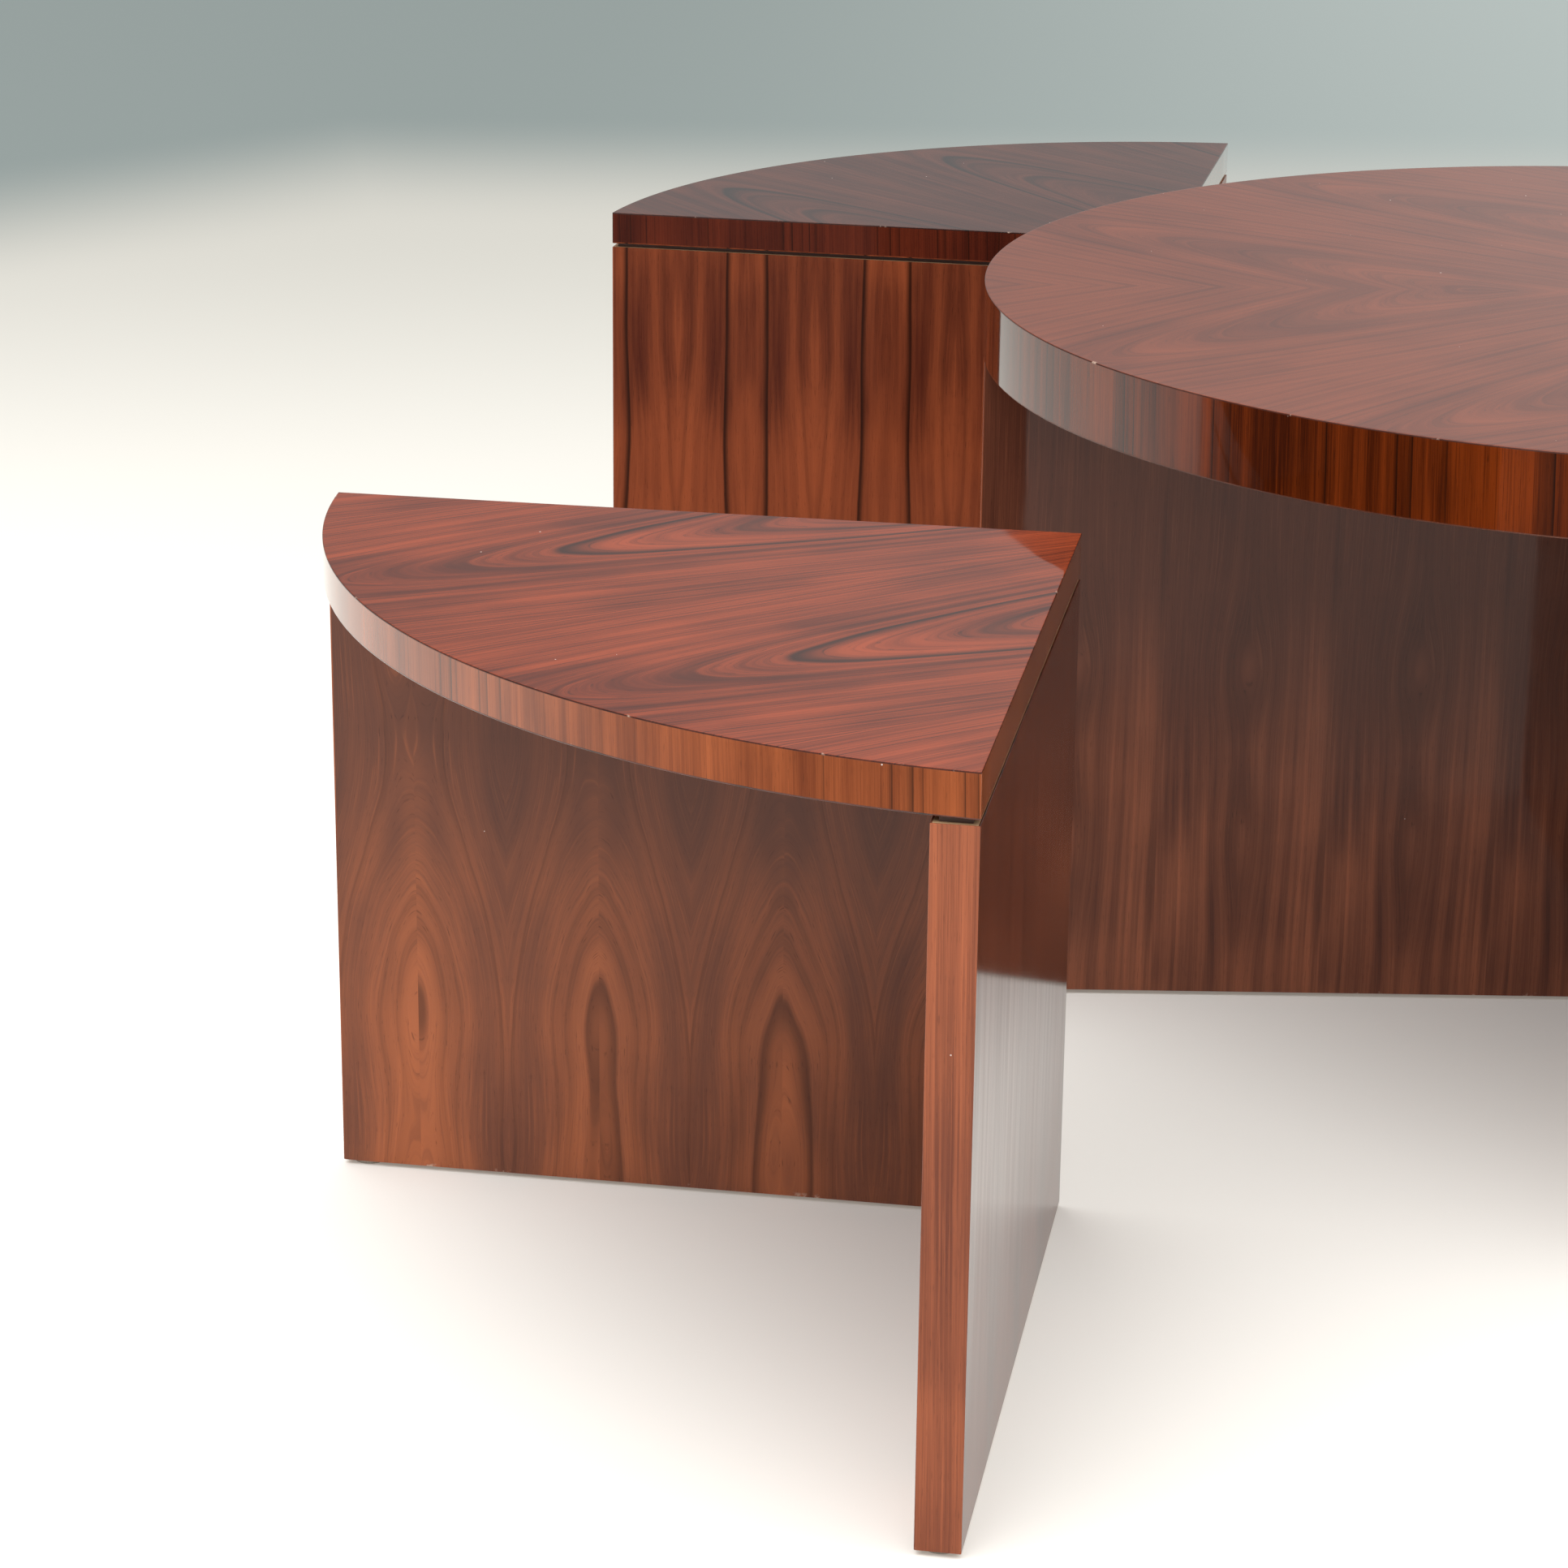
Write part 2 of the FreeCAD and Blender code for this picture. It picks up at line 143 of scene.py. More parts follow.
def rimBand(name, loop, shape, place):
    # An upright strip round the edge: outer face, then the hidden back of the strip.
    low = shape["height"] - shape["topThickness"] + shape["skin"]
    high = shape["height"] - shape["skin"]
    back, inset = shape["arris"] - shape["bevelSlack"], shape["bandInset"]
    profile = [(0, low, 0), (0, low + inset, 0), (0, high - inset, 0), (0, high, 0),
               (back, high, 0), (back, low, 0), (0, low, 0)]
    points = carried(loop, profile)
    step = np.linalg.norm(np.diff(points[0, :, :2], axis=0), axis=1)
    length = np.concatenate([[0], np.cumsum(step)])
    across = np.broadcast_to(length[None], points.shape[:2])
    edge = np.minimum(points[..., 2] - low, high - points[..., 2])
    return meshFromGrid(name, stood(points, place), across, points[..., 2], edge)


def wire(tree, kind, sources=None, out=0, **settings):
    # One node, with its sockets set or joined by name or number.
    made = tree.nodes.new("ShaderNode" + kind)
    for key, value in settings.items():
        setattr(made, key, value)
    for key, source in (sources or {}).items():
        if isinstance(source, bpy.types.NodeSocket):
            tree.links.new(source, made.inputs[key])
        else:
            made.inputs[key].default_value = source
    return made.outputs[out]


def sums(tree, operation, *sources, clamp=False):
    return wire(tree, "Math", dict(enumerate(sources)), operation=operation, use_clamp=clamp)


def smooth(tree, value, low, high, toLow=0.0, toHigh=1.0):
    return wire(tree, "MapRange", {0: value, 1: low, 2: high, 3: toLow, 4: toHigh},
                interpolation_type="SMOOTHSTEP")


def blend(tree, factor, first, second, mode="MIX"):
    made = tree.nodes.new("ShaderNodeMix")
    made.data_type, made.blend_type = "RGBA", mode
    made.clamp_factor = True
    for key, source in ((0, factor), (6, first), (7, second)):
        if isinstance(source, bpy.types.NodeSocket):
            tree.links.new(source, made.inputs[key])
        else:
            made.inputs[key].default_value = source
    return made.outputs[2]


def newGroup(name, inputs, outputs):
    # inputs: {name: (kind, value)}; outputs: {name: kind}
    tree = bpy.data.node_groups.new(name, "ShaderNodeTree")
    for key, (kind, value) in inputs.items():
        made = tree.interface.new_socket(key, in_out="INPUT", socket_type="NodeSocket" + kind)
        if value is not None:
            made.default_value = value
    for key, kind in outputs.items():
        tree.interface.new_socket(key, in_out="OUTPUT", socket_type="NodeSocket" + kind)
    return tree, tree.nodes.new("NodeGroupInput").outputs, tree.nodes.new("NodeGroupOutput").inputs


def place(tree, group, sources):
    made = tree.nodes.new("ShaderNodeGroup")
    made.node_tree = group
    for key, source in sources.items():
        if isinstance(source, bpy.types.NodeSocket):
            tree.links.new(source, made.inputs[key])
        else:
            made.inputs[key].default_value = source
    return made.outputs


grainNoises = {   # scale across, scale along, detail, roughness
    "slow": (9, 2.6, 1.5, 0.45),
    "small": (45, 11, 2, 0.5),
    "broad": (0.75, 1.8, 2, 0.5),
    "streak": (2.2, 4.5, 4, 0.62),
    "fine": (1500, 14, 3, 0.6),
    "pores": (2600, 95, 2, 0.5),
    "cloud": (14, 7, 2, 0.5),
    "patch": (16, 4.2, 2, 0.5),
}
knots = (   # below the knot height, half width, half height, strength
    (0, 0.020, 0.050, 1.0),
    (0.125, 0.017, 0.062, 0.85),
)
chosenMarks = ((0, None), (-0.0129, 0.7), (0.0079, 0.4))   # ring offset, strength of a side mark


def makeRosewood():
    # Leaves of one log side by side. A ring height is worked out over each leaf, and the
    # wood is coloured by it, so that lines bend into arches and eyes where it wavers.
    tree, given, out = newGroup("rosewoodLeaves", {
        "Across": ("Float", 0), "Along": ("Float", 0), "Leaf width": ("Float", 0.054),
        "Book match": ("Float", 1), "Slip": ("Float", 0), "Crown": ("Float", 0),
        "Crown middle": ("Float", 0.5), "Lean": ("Float", 0.1), "Waver": ("Float", 0.01),
        "Ring": ("Float", 0.006), "Seed": ("Float", 0), "Lines": ("Float", 1),
        "Bend": ("Float", 0), "Bend height": ("Float", 0.2), "Knot": ("Float", 0),
        "Knot height": ("Float", 0.25), "Mark": ("Float", 0.02), "Mark strength": ("Float", 0),
        "Mark width": ("Float", 1), "Side marks": ("Float", 1), "Arch": ("Float", 0),
        "Drift": ("Float", 0.03), "Ripple": ("Float", 1), "Glow": ("Float", 0),
        # the top shade input sets a painted shade towards the top of an upright panel
        "Glow width": ("Float", 0.03), "Painted top shade": ("Float", 0), "Fine grain": ("Float", 1),
        "Light wood": ("Color", (0.35, 0.12, 0.05, 1)), "Deep wood": ("Color", (0.16, 0.04, 0.02, 1)),
        "Line": ("Color", (0.03, 0.012, 0.01, 1)),
    }, {"Color": "Color", "Height": "Float"})
    across, along, seed = given["Across"], given["Along"], given["Seed"]
    width = given["Leaf width"]
    leaf = sums(tree, "FLOOR", sums(tree, "DIVIDE", across, width))
    slipped = sums(tree, "SUBTRACT", across, sums(tree, "MULTIPLY", leaf, width))
    mirrored = sums(tree, "PINGPONG", across, width)
    inLeaf = wire(tree, "Mix", {0: given["Book match"], 2: slipped, 3: mirrored}, data_type="FLOAT")
    up = sums(tree, "MULTIPLY_ADD", leaf, given["Slip"], along)
    middle = sums(tree, "SUBTRACT", inLeaf, sums(tree, "MULTIPLY", width, given["Crown middle"]))

    def at(x, y, z=seed):
        return wire(tree, "CombineXYZ", {0: x, 1: y, 2: z})

    def scaled(value, by):
        return sums(tree, "MULTIPLY", value, by)

    def noise(kind, x, y, z=seed):
        acrossScale, alongScale, detail, roughness = grainNoises[kind]
        return wire(tree, "TexNoise", {"Vector": at(scaled(x, acrossScale), scaled(y, alongScale), z),
                                       "Scale": 1, "Detail": detail, "Roughness": roughness})

    # slow wavering of the rings, drifting a little from leaf to leaf
    drift = sums(tree, "MULTIPLY_ADD", leaf, given["Drift"], seed)
    slow = noise("slow", inLeaf, up, drift)
    small = noise("small", inLeaf, up, drift)
    waver = sums(tree, "ADD", sums(tree, "SUBTRACT", slow, 0.5), sums(
        tree, "MULTIPLY", scaled(sums(tree, "SUBTRACT", small, 0.5), 0.12), given["Ripple"]))
    # crown: squared distance from the leaf's middle over a length, less the rise
    bowl = sums(tree, "DIVIDE", sums(tree, "MULTIPLY", middle, middle), 0.12)
    # arch: the leaf's first side is rounded, root of (across squared + arch squared)
    arched = sums(tree, "SUBTRACT", sums(tree, "SQRT", sums(
        tree, "ADD", sums(tree, "MULTIPLY", inLeaf, inLeaf),
        sums(tree, "MULTIPLY", given["Arch"], given["Arch"]))), given["Arch"])
    # knots: the lines part round two points, as the leaf's width is drawn in towards them
    eased = arched
    knotShade = knotGlow = 0.0
    for below, wide, tall, strength in knots:
        fromKnot = sums(tree, "ADD", sums(tree, "POWER", sums(tree, "DIVIDE", middle, wide), 2),
                        sums(tree, "POWER", sums(tree, "DIVIDE", sums(
                            tree, "ADD", sums(tree, "SUBTRACT", up, given["Knot height"]), below), tall), 2))
        drawn = sums(tree, "MULTIPLY", scaled(given["Knot"], strength),
                     sums(tree, "EXPONENT", scaled(fromKnot, -1)))
        eased = sums(tree, "SUBTRACT", eased, sums(tree, "MULTIPLY", drawn, middle))
        knotShade = sums(tree, "MAXIMUM", knotShade, drawn)
        knotGlow = sums(tree, "MAXIMUM", knotGlow, sums(tree, "MULTIPLY", scaled(given["Knot"], strength),
                                                        sums(tree, "EXPONENT", scaled(fromKnot, -8))))
    plain = sums(tree, "MULTIPLY", eased, sums(tree, "SUBTRACT", 1, given["Crown"]))
    rings = sums(tree, "MULTIPLY_ADD", bowl, given["Crown"], plain)
    rings = sums(tree, "MULTIPLY_ADD", up, given["Lean"], rings)
    rings = sums(tree, "MULTIPLY_ADD", waver, given["Waver"], rings)
    overBend = smooth(tree, sums(tree, "SUBTRACT", up, given["Bend height"]), -0.11, 0.11)
    rings = sums(tree, "MULTIPLY_ADD", overBend, given["Bend"], rings)
    count = sums(tree, "DIVIDE", rings, given["Ring"])
    uneven = wire(tree, "TexNoise", {"Vector": at(scaled(count, 0.37), seed), "Scale": 1,
                                     "Detail": 2, "Roughness": 0.6})
    phase = sums(tree, "MULTIPLY_ADD", uneven, 3.2, count)
    number = sums(tree, "FLOOR", phase)
    rise = sums(tree, "FRACT", phase)
    chance = wire(tree, "TexWhiteNoise", {"Vector": at(number, seed)}, noise_dimensions="3D")
    # dark line: builds up slowly through a ring, ends sharply, bold in a few rings only
    bold = smooth(tree, chance, 0.55, 0.95)
    edgeOff = smooth(tree, rise, 0.93, 1.0, 1.0, 0.0)
    build = sums(tree, "POWER", rise, 5)
    line = sums(tree, "MULTIPLY", sums(tree, "MULTIPLY", build, edgeOff), bold)
    # long fine streaks that follow the rings
    broad = noise("broad", count, up)
    streak = noise("streak", count, up)
    fine = noise("fine", rings, up)
    pores = noise("pores", rings, up)
    cloud = noise("cloud", inLeaf, up, drift)
    tone = sums(tree, "ADD", scaled(smooth(tree, broad, 0.34, 0.66), 0.36),
                sums(tree, "ADD", scaled(smooth(tree, streak, 0.32, 0.68), 0.30),
                     scaled(smooth(tree, cloud, 0.36, 0.64), 0.34)))
    # glow: pale towards the leaf's first side and dark towards its other, in slow patches
    patch = noise("patch", inLeaf, up, drift)
    nearSide = sums(tree, "SUBTRACT", 1, sums(tree, "DIVIDE", arched, given["Glow width"]), clamp=True)
    glowing = sums(tree, "MULTIPLY_ADD", nearSide, smooth(tree, patch, 0.36, 0.60), scaled(tone, 0.30))
    tone = wire(tree, "Mix", {0: given["Glow"], 2: tone, 3: glowing}, data_type="FLOAT")
    # painted shade: darker towards the top of an upright panel, where the table's top shades it; and darker
    # round each knot, in the wood itself
    paintedShade = sums(tree, "MULTIPLY", smooth(tree, sums(tree, "MULTIPLY_ADD", slow, 0.2, along), 0.20, 0.42),
                 given["Painted top shade"])
    tone = sums(tree, "MULTIPLY", tone, sums(tree, "SUBTRACT", 1, paintedShade))
    tone = sums(tree, "MULTIPLY", tone, sums(tree, "SUBTRACT", 1, scaled(knotShade, 0.75)))
    tone = sums(tree, "MULTIPLY_ADD", knotGlow, 0.22, tone, clamp=True)
    wood = blend(tree, tone, given["Deep wood"], given["Light wood"])
    wood = blend(tree, sums(tree, "MULTIPLY", smooth(tree, fine, 0.48, 0.70, 0, 0.45), given["Fine grain"]),
                 wood, given["Deep wood"])
    wood = blend(tree, sums(tree, "MULTIPLY", smooth(tree, fine, 0.47, 0.28, 0, 0.40), given["Fine grain"]),
                 wood, given["Light wood"])
    second = sums(tree, "MULTIPLY", smooth(tree, streak, 0.40, 0.28), 0.35)
    darkness = sums(tree, "MAXIMUM", sums(tree, "MULTIPLY", line, 1.25), second)
    darkness = sums(tree, "MULTIPLY", darkness, given["Lines"], clamp=True)
    # a dark ring stays round the pale middle of each knot
    roundKnot = sums(tree, "MULTIPLY", scaled(knotShade, 0.3), sums(tree, "SUBTRACT", 1, knotGlow))
    darkness = sums(tree, "MAXIMUM", darkness, roundKnot)
    # marks: three chosen rings, dark outside and fading inwards
    for offset, strength in chosenMarks:
        past = sums(tree, "DIVIDE", sums(tree, "SUBTRACT", rings, sums(tree, "ADD", given["Mark"], offset)),
                    given["Mark width"])
        inner = sums(tree, "POWER", smooth(tree, past, -0.0042, 0), 1.6)
        outer = smooth(tree, past, 0.0011, 0)
        mark = sums(tree, "MULTIPLY", sums(tree, "MULTIPLY", inner, outer), given["Mark strength"])
        if strength is not None:
            mark = sums(tree, "MULTIPLY", scaled(mark, strength), given["Side marks"])
        darkness = sums(tree, "MAXIMUM", darkness, mark)
    wood = blend(tree, darkness, wood, given["Line"])
    pit = smooth(tree, pores, 0.62, 0.74)
    wood = blend(tree, scaled(pit, 0.45), wood, given["Line"])
    tree.links.new(wood, out["Color"])
    tree.links.new(sums(tree, "SUBTRACT", scaled(fine, 0.4), scaled(pit, 0.6)), out["Height"])
    return tree


def makeLacquerMarks():
    # Sparse dust specks and faint smears on a polished surface.
    tree, given, out = newGroup("lacquerMarks", {
        "Vector": ("Vector", None), "Specks": ("Float", 0.3), "Seed": ("Float", 0),
    }, {"Speck": "Float", "Smear": "Float", "Swell": "Float"})
    shifted = wire(tree, "VectorMath", {0: given["Vector"],
                                        1: wire(tree, "CombineXYZ", {0: given["Seed"], 1: 0.37, 2: 0.11})})
    cell = tree.nodes.new("ShaderNodeTexVoronoi")
    cell.inputs["Scale"].default_value = 42
    tree.links.new(shifted, cell.inputs["Vector"])
    chance = wire(tree, "SeparateColor", {0: cell.outputs["Color"]})
    spread = wire(tree, "SeparateColor", {0: cell.outputs["Color"]}, out=1)
    size = smooth(tree, spread, 0, 1, 0.010, 0.028)
    dot = sums(tree, "LESS_THAN", cell.outputs["Distance"], size)
    kept = sums(tree, "LESS_THAN", chance, given["Specks"])
    tree.links.new(sums(tree, "MULTIPLY", dot, kept), out["Speck"])
    tree.links.new(wire(tree, "TexNoise", {"Vector": shifted, "Scale": 9, "Detail": 3}), out["Smear"])
    tree.links.new(wire(tree, "TexNoise", {"Vector": shifted, "Scale": 26, "Detail": 1}), out["Swell"])
    return tree


def makeEdgeWearAndHighlight():
    # Rubbed through in patches close to an edge: real wear, and also a painted highlight along the arris.
    tree, given, out = newGroup("edgeWearAndHighlight", {
        "Vector": ("Vector", None), "Distance": ("Float", 1), "Width": ("Float", 0.0012),
        "Amount": ("Float", 0.4), "Scale": ("Float", 60),
    }, {"Mask": "Float"})
    patch = wire(tree, "TexNoise", {"Vector": given["Vector"], "Scale": given["Scale"], "Detail": 4,
                                    "Roughness": 0.7})
    near = wire(tree, "MapRange", {0: given["Distance"], 1: 0.0, 2: given["Width"], 3: 1.0, 4: 0.0})
    level = sums(tree, "MULTIPLY_ADD", given["Amount"], 0.5, patch)
    tree.links.new(sums(tree, "MULTIPLY", near, smooth(tree, level, 0.72, 0.8)), out["Mask"])
    return tree


rosewood = makeRosewood()
lacquerMarks = makeLacquerMarks()
edgeWearAndHighlight = makeEdgeWearAndHighlight()
print("made the shared node groups")


woodSets = {
    "top": {"Light wood": (0.300, 0.053, 0.018, 1), "Deep wood": (0.062, 0.0105, 0.0055, 1),
            "Line": (0.008, 0.005, 0.005, 1)},
    "softTop": {"Light wood": (0.215, 0.050, 0.022, 1), "Deep wood": (0.105, 0.024, 0.013, 1),
                "Line": (0.030, 0.012, 0.010, 1)},
    "shadedTop": {"Light wood": (0.120, 0.034, 0.020, 1), "Deep wood": (0.045, 0.013, 0.010, 1),
                  "Line": (0.010, 0.007, 0.007, 1)},
    "band": {"Light wood": (0.370, 0.100, 0.034, 1), "Deep wood": (0.130, 0.032, 0.013, 1),
             "Line": (0.030, 0.013, 0.008, 1)},
    "redBand": {"Light wood": (0.120, 0.021, 0.009, 1), "Deep wood": (0.042, 0.008, 0.005, 1),
                "Line": (0.006, 0.004, 0.003, 1)},
    "roundBand": {"Light wood": (0.205, 0.034, 0.005, 1), "Deep wood": (0.024, 0.004, 0.0015, 1),
                  "Line": (0.006, 0.003, 0.002, 1)},
    "panel": {"Light wood": (0.490, 0.148, 0.060, 1), "Deep wood": (0.100, 0.041, 0.030, 1),
              "Line": (0.022, 0.010, 0.009, 1)},
    "redPanel": {"Light wood": (0.320, 0.076, 0.028, 1), "Deep wood": (0.066, 0.014, 0.008, 1),
                 "Line": (0.008, 0.004, 0.003, 1)},
    "darkPanel": {"Light wood": (0.130, 0.026, 0.010, 1), "Deep wood": (0.045, 0.009, 0.005, 1),
                  "Line": (0.008, 0.004, 0.003, 1)},
    "base": {"Light wood": (0.340, 0.112, 0.056, 1), "Deep wood": (0.092, 0.031, 0.020, 1),
             "Line": (0.018, 0.008, 0.006, 1)},
    "end": {"Light wood": (0.400, 0.115, 0.050, 1), "Deep wood": (0.135, 0.036, 0.019, 1),
            "Line": (0.045, 0.012, 0.008, 1)},
}
# the pale worn colour at edges is partly real wear and partly a painted highlight along the arris
polish = {"roughness": 0.03, "smear": 0.05, "swell": 0.00005, "speckColour": (0.72, 0.62, 0.58, 1),
          "wornAndHighlightColour": (0.55, 0.40, 0.32, 1)}
specks = {"top": 0.5, "band": 0.08, "upright": 0.12}   # share of the cells with a speck
wearAndHighlightReach = {   # how far in from an edge the wear and the painted arris highlight reach, and how much of them there is
    "top": {"Width": 0.0012, "Amount": 0.21},
    "band": {"Width": 0.0008, "Amount": 0.1},
    "upright": {"Width": 0.003, "Amount": 0.2},
}
bandGloss = {"specular": 0.04, "facing": (0.12, 0.45), "coatRoughness": 0.06}
panelCoat = {"streakAcross": 110, "streakAlong": 5, "height": 0.24, "coatRoughness": 0.10}
leafFigures = {   # how the leaves run on each kind of surface; the top shade setting is a painted shade towards the top of upright panels
    "top": {"Leaf width": 0.2447, "Book match": 0.0, "Slip": -0.021, "Crown": 1.0, "Lean": -0.11,
            "Waver": 0.012, "Ring": 0.0058, "Mark": 0.0305},
    "band": {"Leaf width": 0.30, "Book match": 0.0, "Crown": 0.0, "Lean": 0.03, "Waver": 0.008,
             "Ring": 0.0078, "Lines": 0.9},
    "roundBand": {"Leaf width": 0.30, "Book match": 0.0, "Crown": 0.0, "Lean": 0.03, "Waver": 0.008,
                  "Ring": 0.0105, "Lines": 1.0},
    "outer": {"Leaf width": 0.0573, "Lean": -0.042, "Waver": 0.06, "Ring": 0.023, "Mark": 0.0055,
              "Mark strength": 0.85, "Mark width": 1.7, "Side marks": 0.0, "Lines": 0.2, "Drift": 0.09,
              "Ripple": 0.3, "Fine grain": 0.35},
    "inner": {"Leaf width": 0.0573, "Lean": 0.02, "Waver": 0.095, "Ring": 0.014, "Bend": 0.026,
              "Bend height": 0.20, "Mark": 0.0096, "Mark strength": 0.6, "Mark width": 1.6,
              "Side marks": 1.0, "Arch": 0.016, "Drift": 0.05, "Lines": 0.35, "Ripple": 0.3,
              "Glow": 0.6, "Glow width": 0.034, "Painted top shade": 0.75, "Fine grain": 0.6},
    "end": {"Leaf width": 0.2, "Book match": 0.0, "Lean": 0.01, "Waver": 0.004, "Ring": 0.0035,
            "Lines": 0.6},
    "base": {"Leaf width": 0.1165, "Book match": 0.0, "Lean": 0.0, "Waver": 0.014, "Ring": 0.0085,
             "Knot": 0.92, "Knot height": 0.24, "Lines": 0.22, "Drift": 0.05, "Ripple": 0.7,
             "Painted top shade": 0.75, "Fine grain": 0.7},
    "baseEnd": {"Leaf width": 0.2, "Book match": 0.0, "Lean": 0.01, "Waver": 0.004, "Ring": 0.004,
                "Lines": 0.4},
}


def newMaterial(name):
    material = bpy.data.materials.new(name)
    material.use_nodes = True
    tree = material.node_tree
    return material, tree, tree.nodes["Principled BSDF"]


def tableVector(tree, spot):
    # Object coordinates seen from the table's own square corner.
    x, y, turn = spot
    source = wire(tree, "TexCoord", out=3)
    return wire(tree, "Mapping", {"Vector": source, "Location": (x, y, 0),
                                  "Rotation": (0, 0, math.radians(turn))}, vector_type="TEXTURE")


def split(tree, vector):
    made = tree.nodes.new("ShaderNodeSeparateXYZ")
    tree.links.new(vector, made.inputs[0])
    return made.outputs


def finishPolished(tree, shader, leaves, vector, kind, fromEdge, seed, specular=0.2, blur=0.0,
                   grainDepth=0.01):
    # Lacquer over the wood: the sheen comes from a smooth, almost even surface.
    marks = place(tree, lacquerMarks, {"Vector": vector, "Specks": specks[kind], "Seed": seed})
    # pale edges: partly real wear, partly a painted highlight along the arris
    wearAndHighlightMask = place(tree, edgeWearAndHighlight, {"Vector": vector, "Distance": fromEdge, **wearAndHighlightReach[kind]})["Mask"]
    colour = blend(tree, sums(tree, "MULTIPLY", marks["Speck"], 0.75), leaves["Color"], polish["speckColour"])
    colour = blend(tree, wearAndHighlightMask, colour, polish["wornAndHighlightColour"])
    tree.links.new(colour, shader.inputs["Base Color"])
    rough = smooth(tree, marks["Smear"], 0.35, 0.75, polish["roughness"] + blur,
                   polish["roughness"] + polish["smear"] + blur)
    rough = sums(tree, "ADD", rough, sums(tree, "MULTIPLY", marks["Speck"], 0.4))
    tree.links.new(rough, shader.inputs["Roughness"])
    swell = sums(tree, "MULTIPLY_ADD", leaves["Height"], grainDepth, marks["Swell"])
    bump = wire(tree, "Bump", {"Height": swell, "Distance": polish["swell"], "Strength": 1.0})
    tree.links.new(bump, shader.inputs["Normal"])
    shader.inputs["IOR"].default_value = 1.5
    shader.inputs["Specular IOR Level"].default_value = specular


def topMaterial(name, spot, look, quartered=False):
    material, tree, shader = newMaterial(name)
    vector = tableVector(tree, spot)
    x, y = split(tree, vector)[:2]
    if quartered:   # four mirrored quarters meet on the middle lines
        x = sums(tree, "MULTIPLY", sums(tree, "ABSOLUTE", x), -1)
        y = sums(tree, "MULTIPLY", sums(tree, "ABSOLUTE", y), -1)
    c, s = math.cos(math.radians(look["turn"])), math.sin(math.radians(look["turn"]))
    along = sums(tree, "ADD", sums(tree, "MULTIPLY", x, c), sums(tree, "MULTIPLY", y, s))
    across = sums(tree, "SUBTRACT", sums(tree, "MULTIPLY", x, s), sums(tree, "MULTIPLY", y, c))
    woods = woodSets[look["top"]]
    leaves = place(tree, rosewood, {
        "Across": sums(tree, "ADD", across, look["shift"][0]),
        "Along": sums(tree, "ADD", along, look["shift"][1]), "Seed": look["seed"],
        "Lines": look["lines"], "Mark strength": look["marks"], **leafFigures["top"], **woods})
    edge = wire(tree, "Attribute", out=2, attribute_name="edge")
    seam = sums(tree, "MULTIPLY", smooth(tree, edge, 0.00025, 0.00005), 0.7)   # dark glue line
    leaves = {"Color": blend(tree, seam, leaves["Color"], woods["Line"]), "Height": leaves["Height"]}
    finishPolished(tree, shader, leaves, vector, "top", edge, look["seed"])
    return material


def bandMaterial(name, seed, kind):
    material, tree, shader = newMaterial(name)
    grain = wire(tree, "UVMap", uv_map="grain")
    across, along = split(tree, grain)[:2]
    figure = leafFigures.get(kind, leafFigures["band"])
    leaves = place(tree, rosewood, {"Across": across, "Along": along, "Seed": seed, **figure,
                                    **woodSets[kind]})
    edge = wire(tree, "Attribute", out=2, attribute_name="edge")
    finishPolished(tree, shader, leaves, grain, "band", edge, seed, bandGloss["specular"])
    facing = wire(tree, "LayerWeight", {"Blend": 0.5}, out=1)   # gloss shows from the side
    tree.links.new(smooth(tree, facing, *bandGloss["facing"]), shader.inputs["Coat Weight"])
    shader.inputs["Coat Roughness"].default_value = bandGloss["coatRoughness"]
    return material


def uprightMaterial(name, spot, woods, figure, seed, start=0.0, blur=0.0, grainDepth=0.01,
                    specular=0.2, sheen=None):
    # For upright panels: across is the sum of both plan directions, so it runs on round
    # a mitred corner, and along is the height.
    material, tree, shader = newMaterial(name)
    vector = tableVector(tree, spot)
    x, y, z = split(tree, vector)
    across = sums(tree, "ADD", sums(tree, "ADD", x, y), start)
    leaves = place(tree, rosewood, {"Across": across, "Along": z, "Seed": seed, **leafFigures[figure],
                                    **woodSets[woods]})
    fromEdge = sums(tree, "SUBTRACT", z, wearAndHighlightReach["upright"]["Width"])
    finishPolished(tree, shader, leaves, vector, "upright", fromEdge, seed, specular, blur, grainDepth)
    if sheen is not None:   # the coat is thicker up the panel, and runs in upright streaks
        streaks = wire(tree, "TexNoise", {"Vector": wire(tree, "CombineXYZ", {
            0: sums(tree, "MULTIPLY", across, panelCoat["streakAcross"]),
            1: sums(tree, "MULTIPLY", z, panelCoat["streakAlong"])}), "Scale": 1, "Detail": 3})
        coat = sums(tree, "MULTIPLY", smooth(tree, z, 0.0, panelCoat["height"], *sheen),
                    smooth(tree, streaks, 0.3, 0.7, 0.65, 1.0))
        tree.links.new(coat, shader.inputs["Coat Weight"])
        shader.inputs["Coat Roughness"].default_value = panelCoat["coatRoughness"]
    return material


def plainMaterial(name, colour, other, scale, stretch, roughness, bump=0.0002):
    # Unpolished inner parts: a stretched noise between two tones.
    material, tree, shader = newMaterial(name)
    source = wire(tree, "TexCoord", out=3)
    stretched = wire(tree, "Mapping", {"Vector": source, "Scale": stretch})
    grain = wire(tree, "TexNoise", {"Vector": stretched, "Scale": scale, "Detail": 5, "Roughness": 0.6})
    tree.links.new(blend(tree, smooth(tree, grain, 0.3, 0.7), colour, other), shader.inputs["Base Color"])
    rough = smooth(tree, grain, 0.2, 0.8, roughness - 0.08, roughness + 0.08)
    tree.links.new(rough, shader.inputs["Roughness"])
    tree.links.new(wire(tree, "Bump", {"Height": grain, "Distance": bump}), shader.inputs["Normal"])
    return material


def dress(node, material):
    nodes[node].data.materials.clear()
    nodes[node].data.materials.append(material)


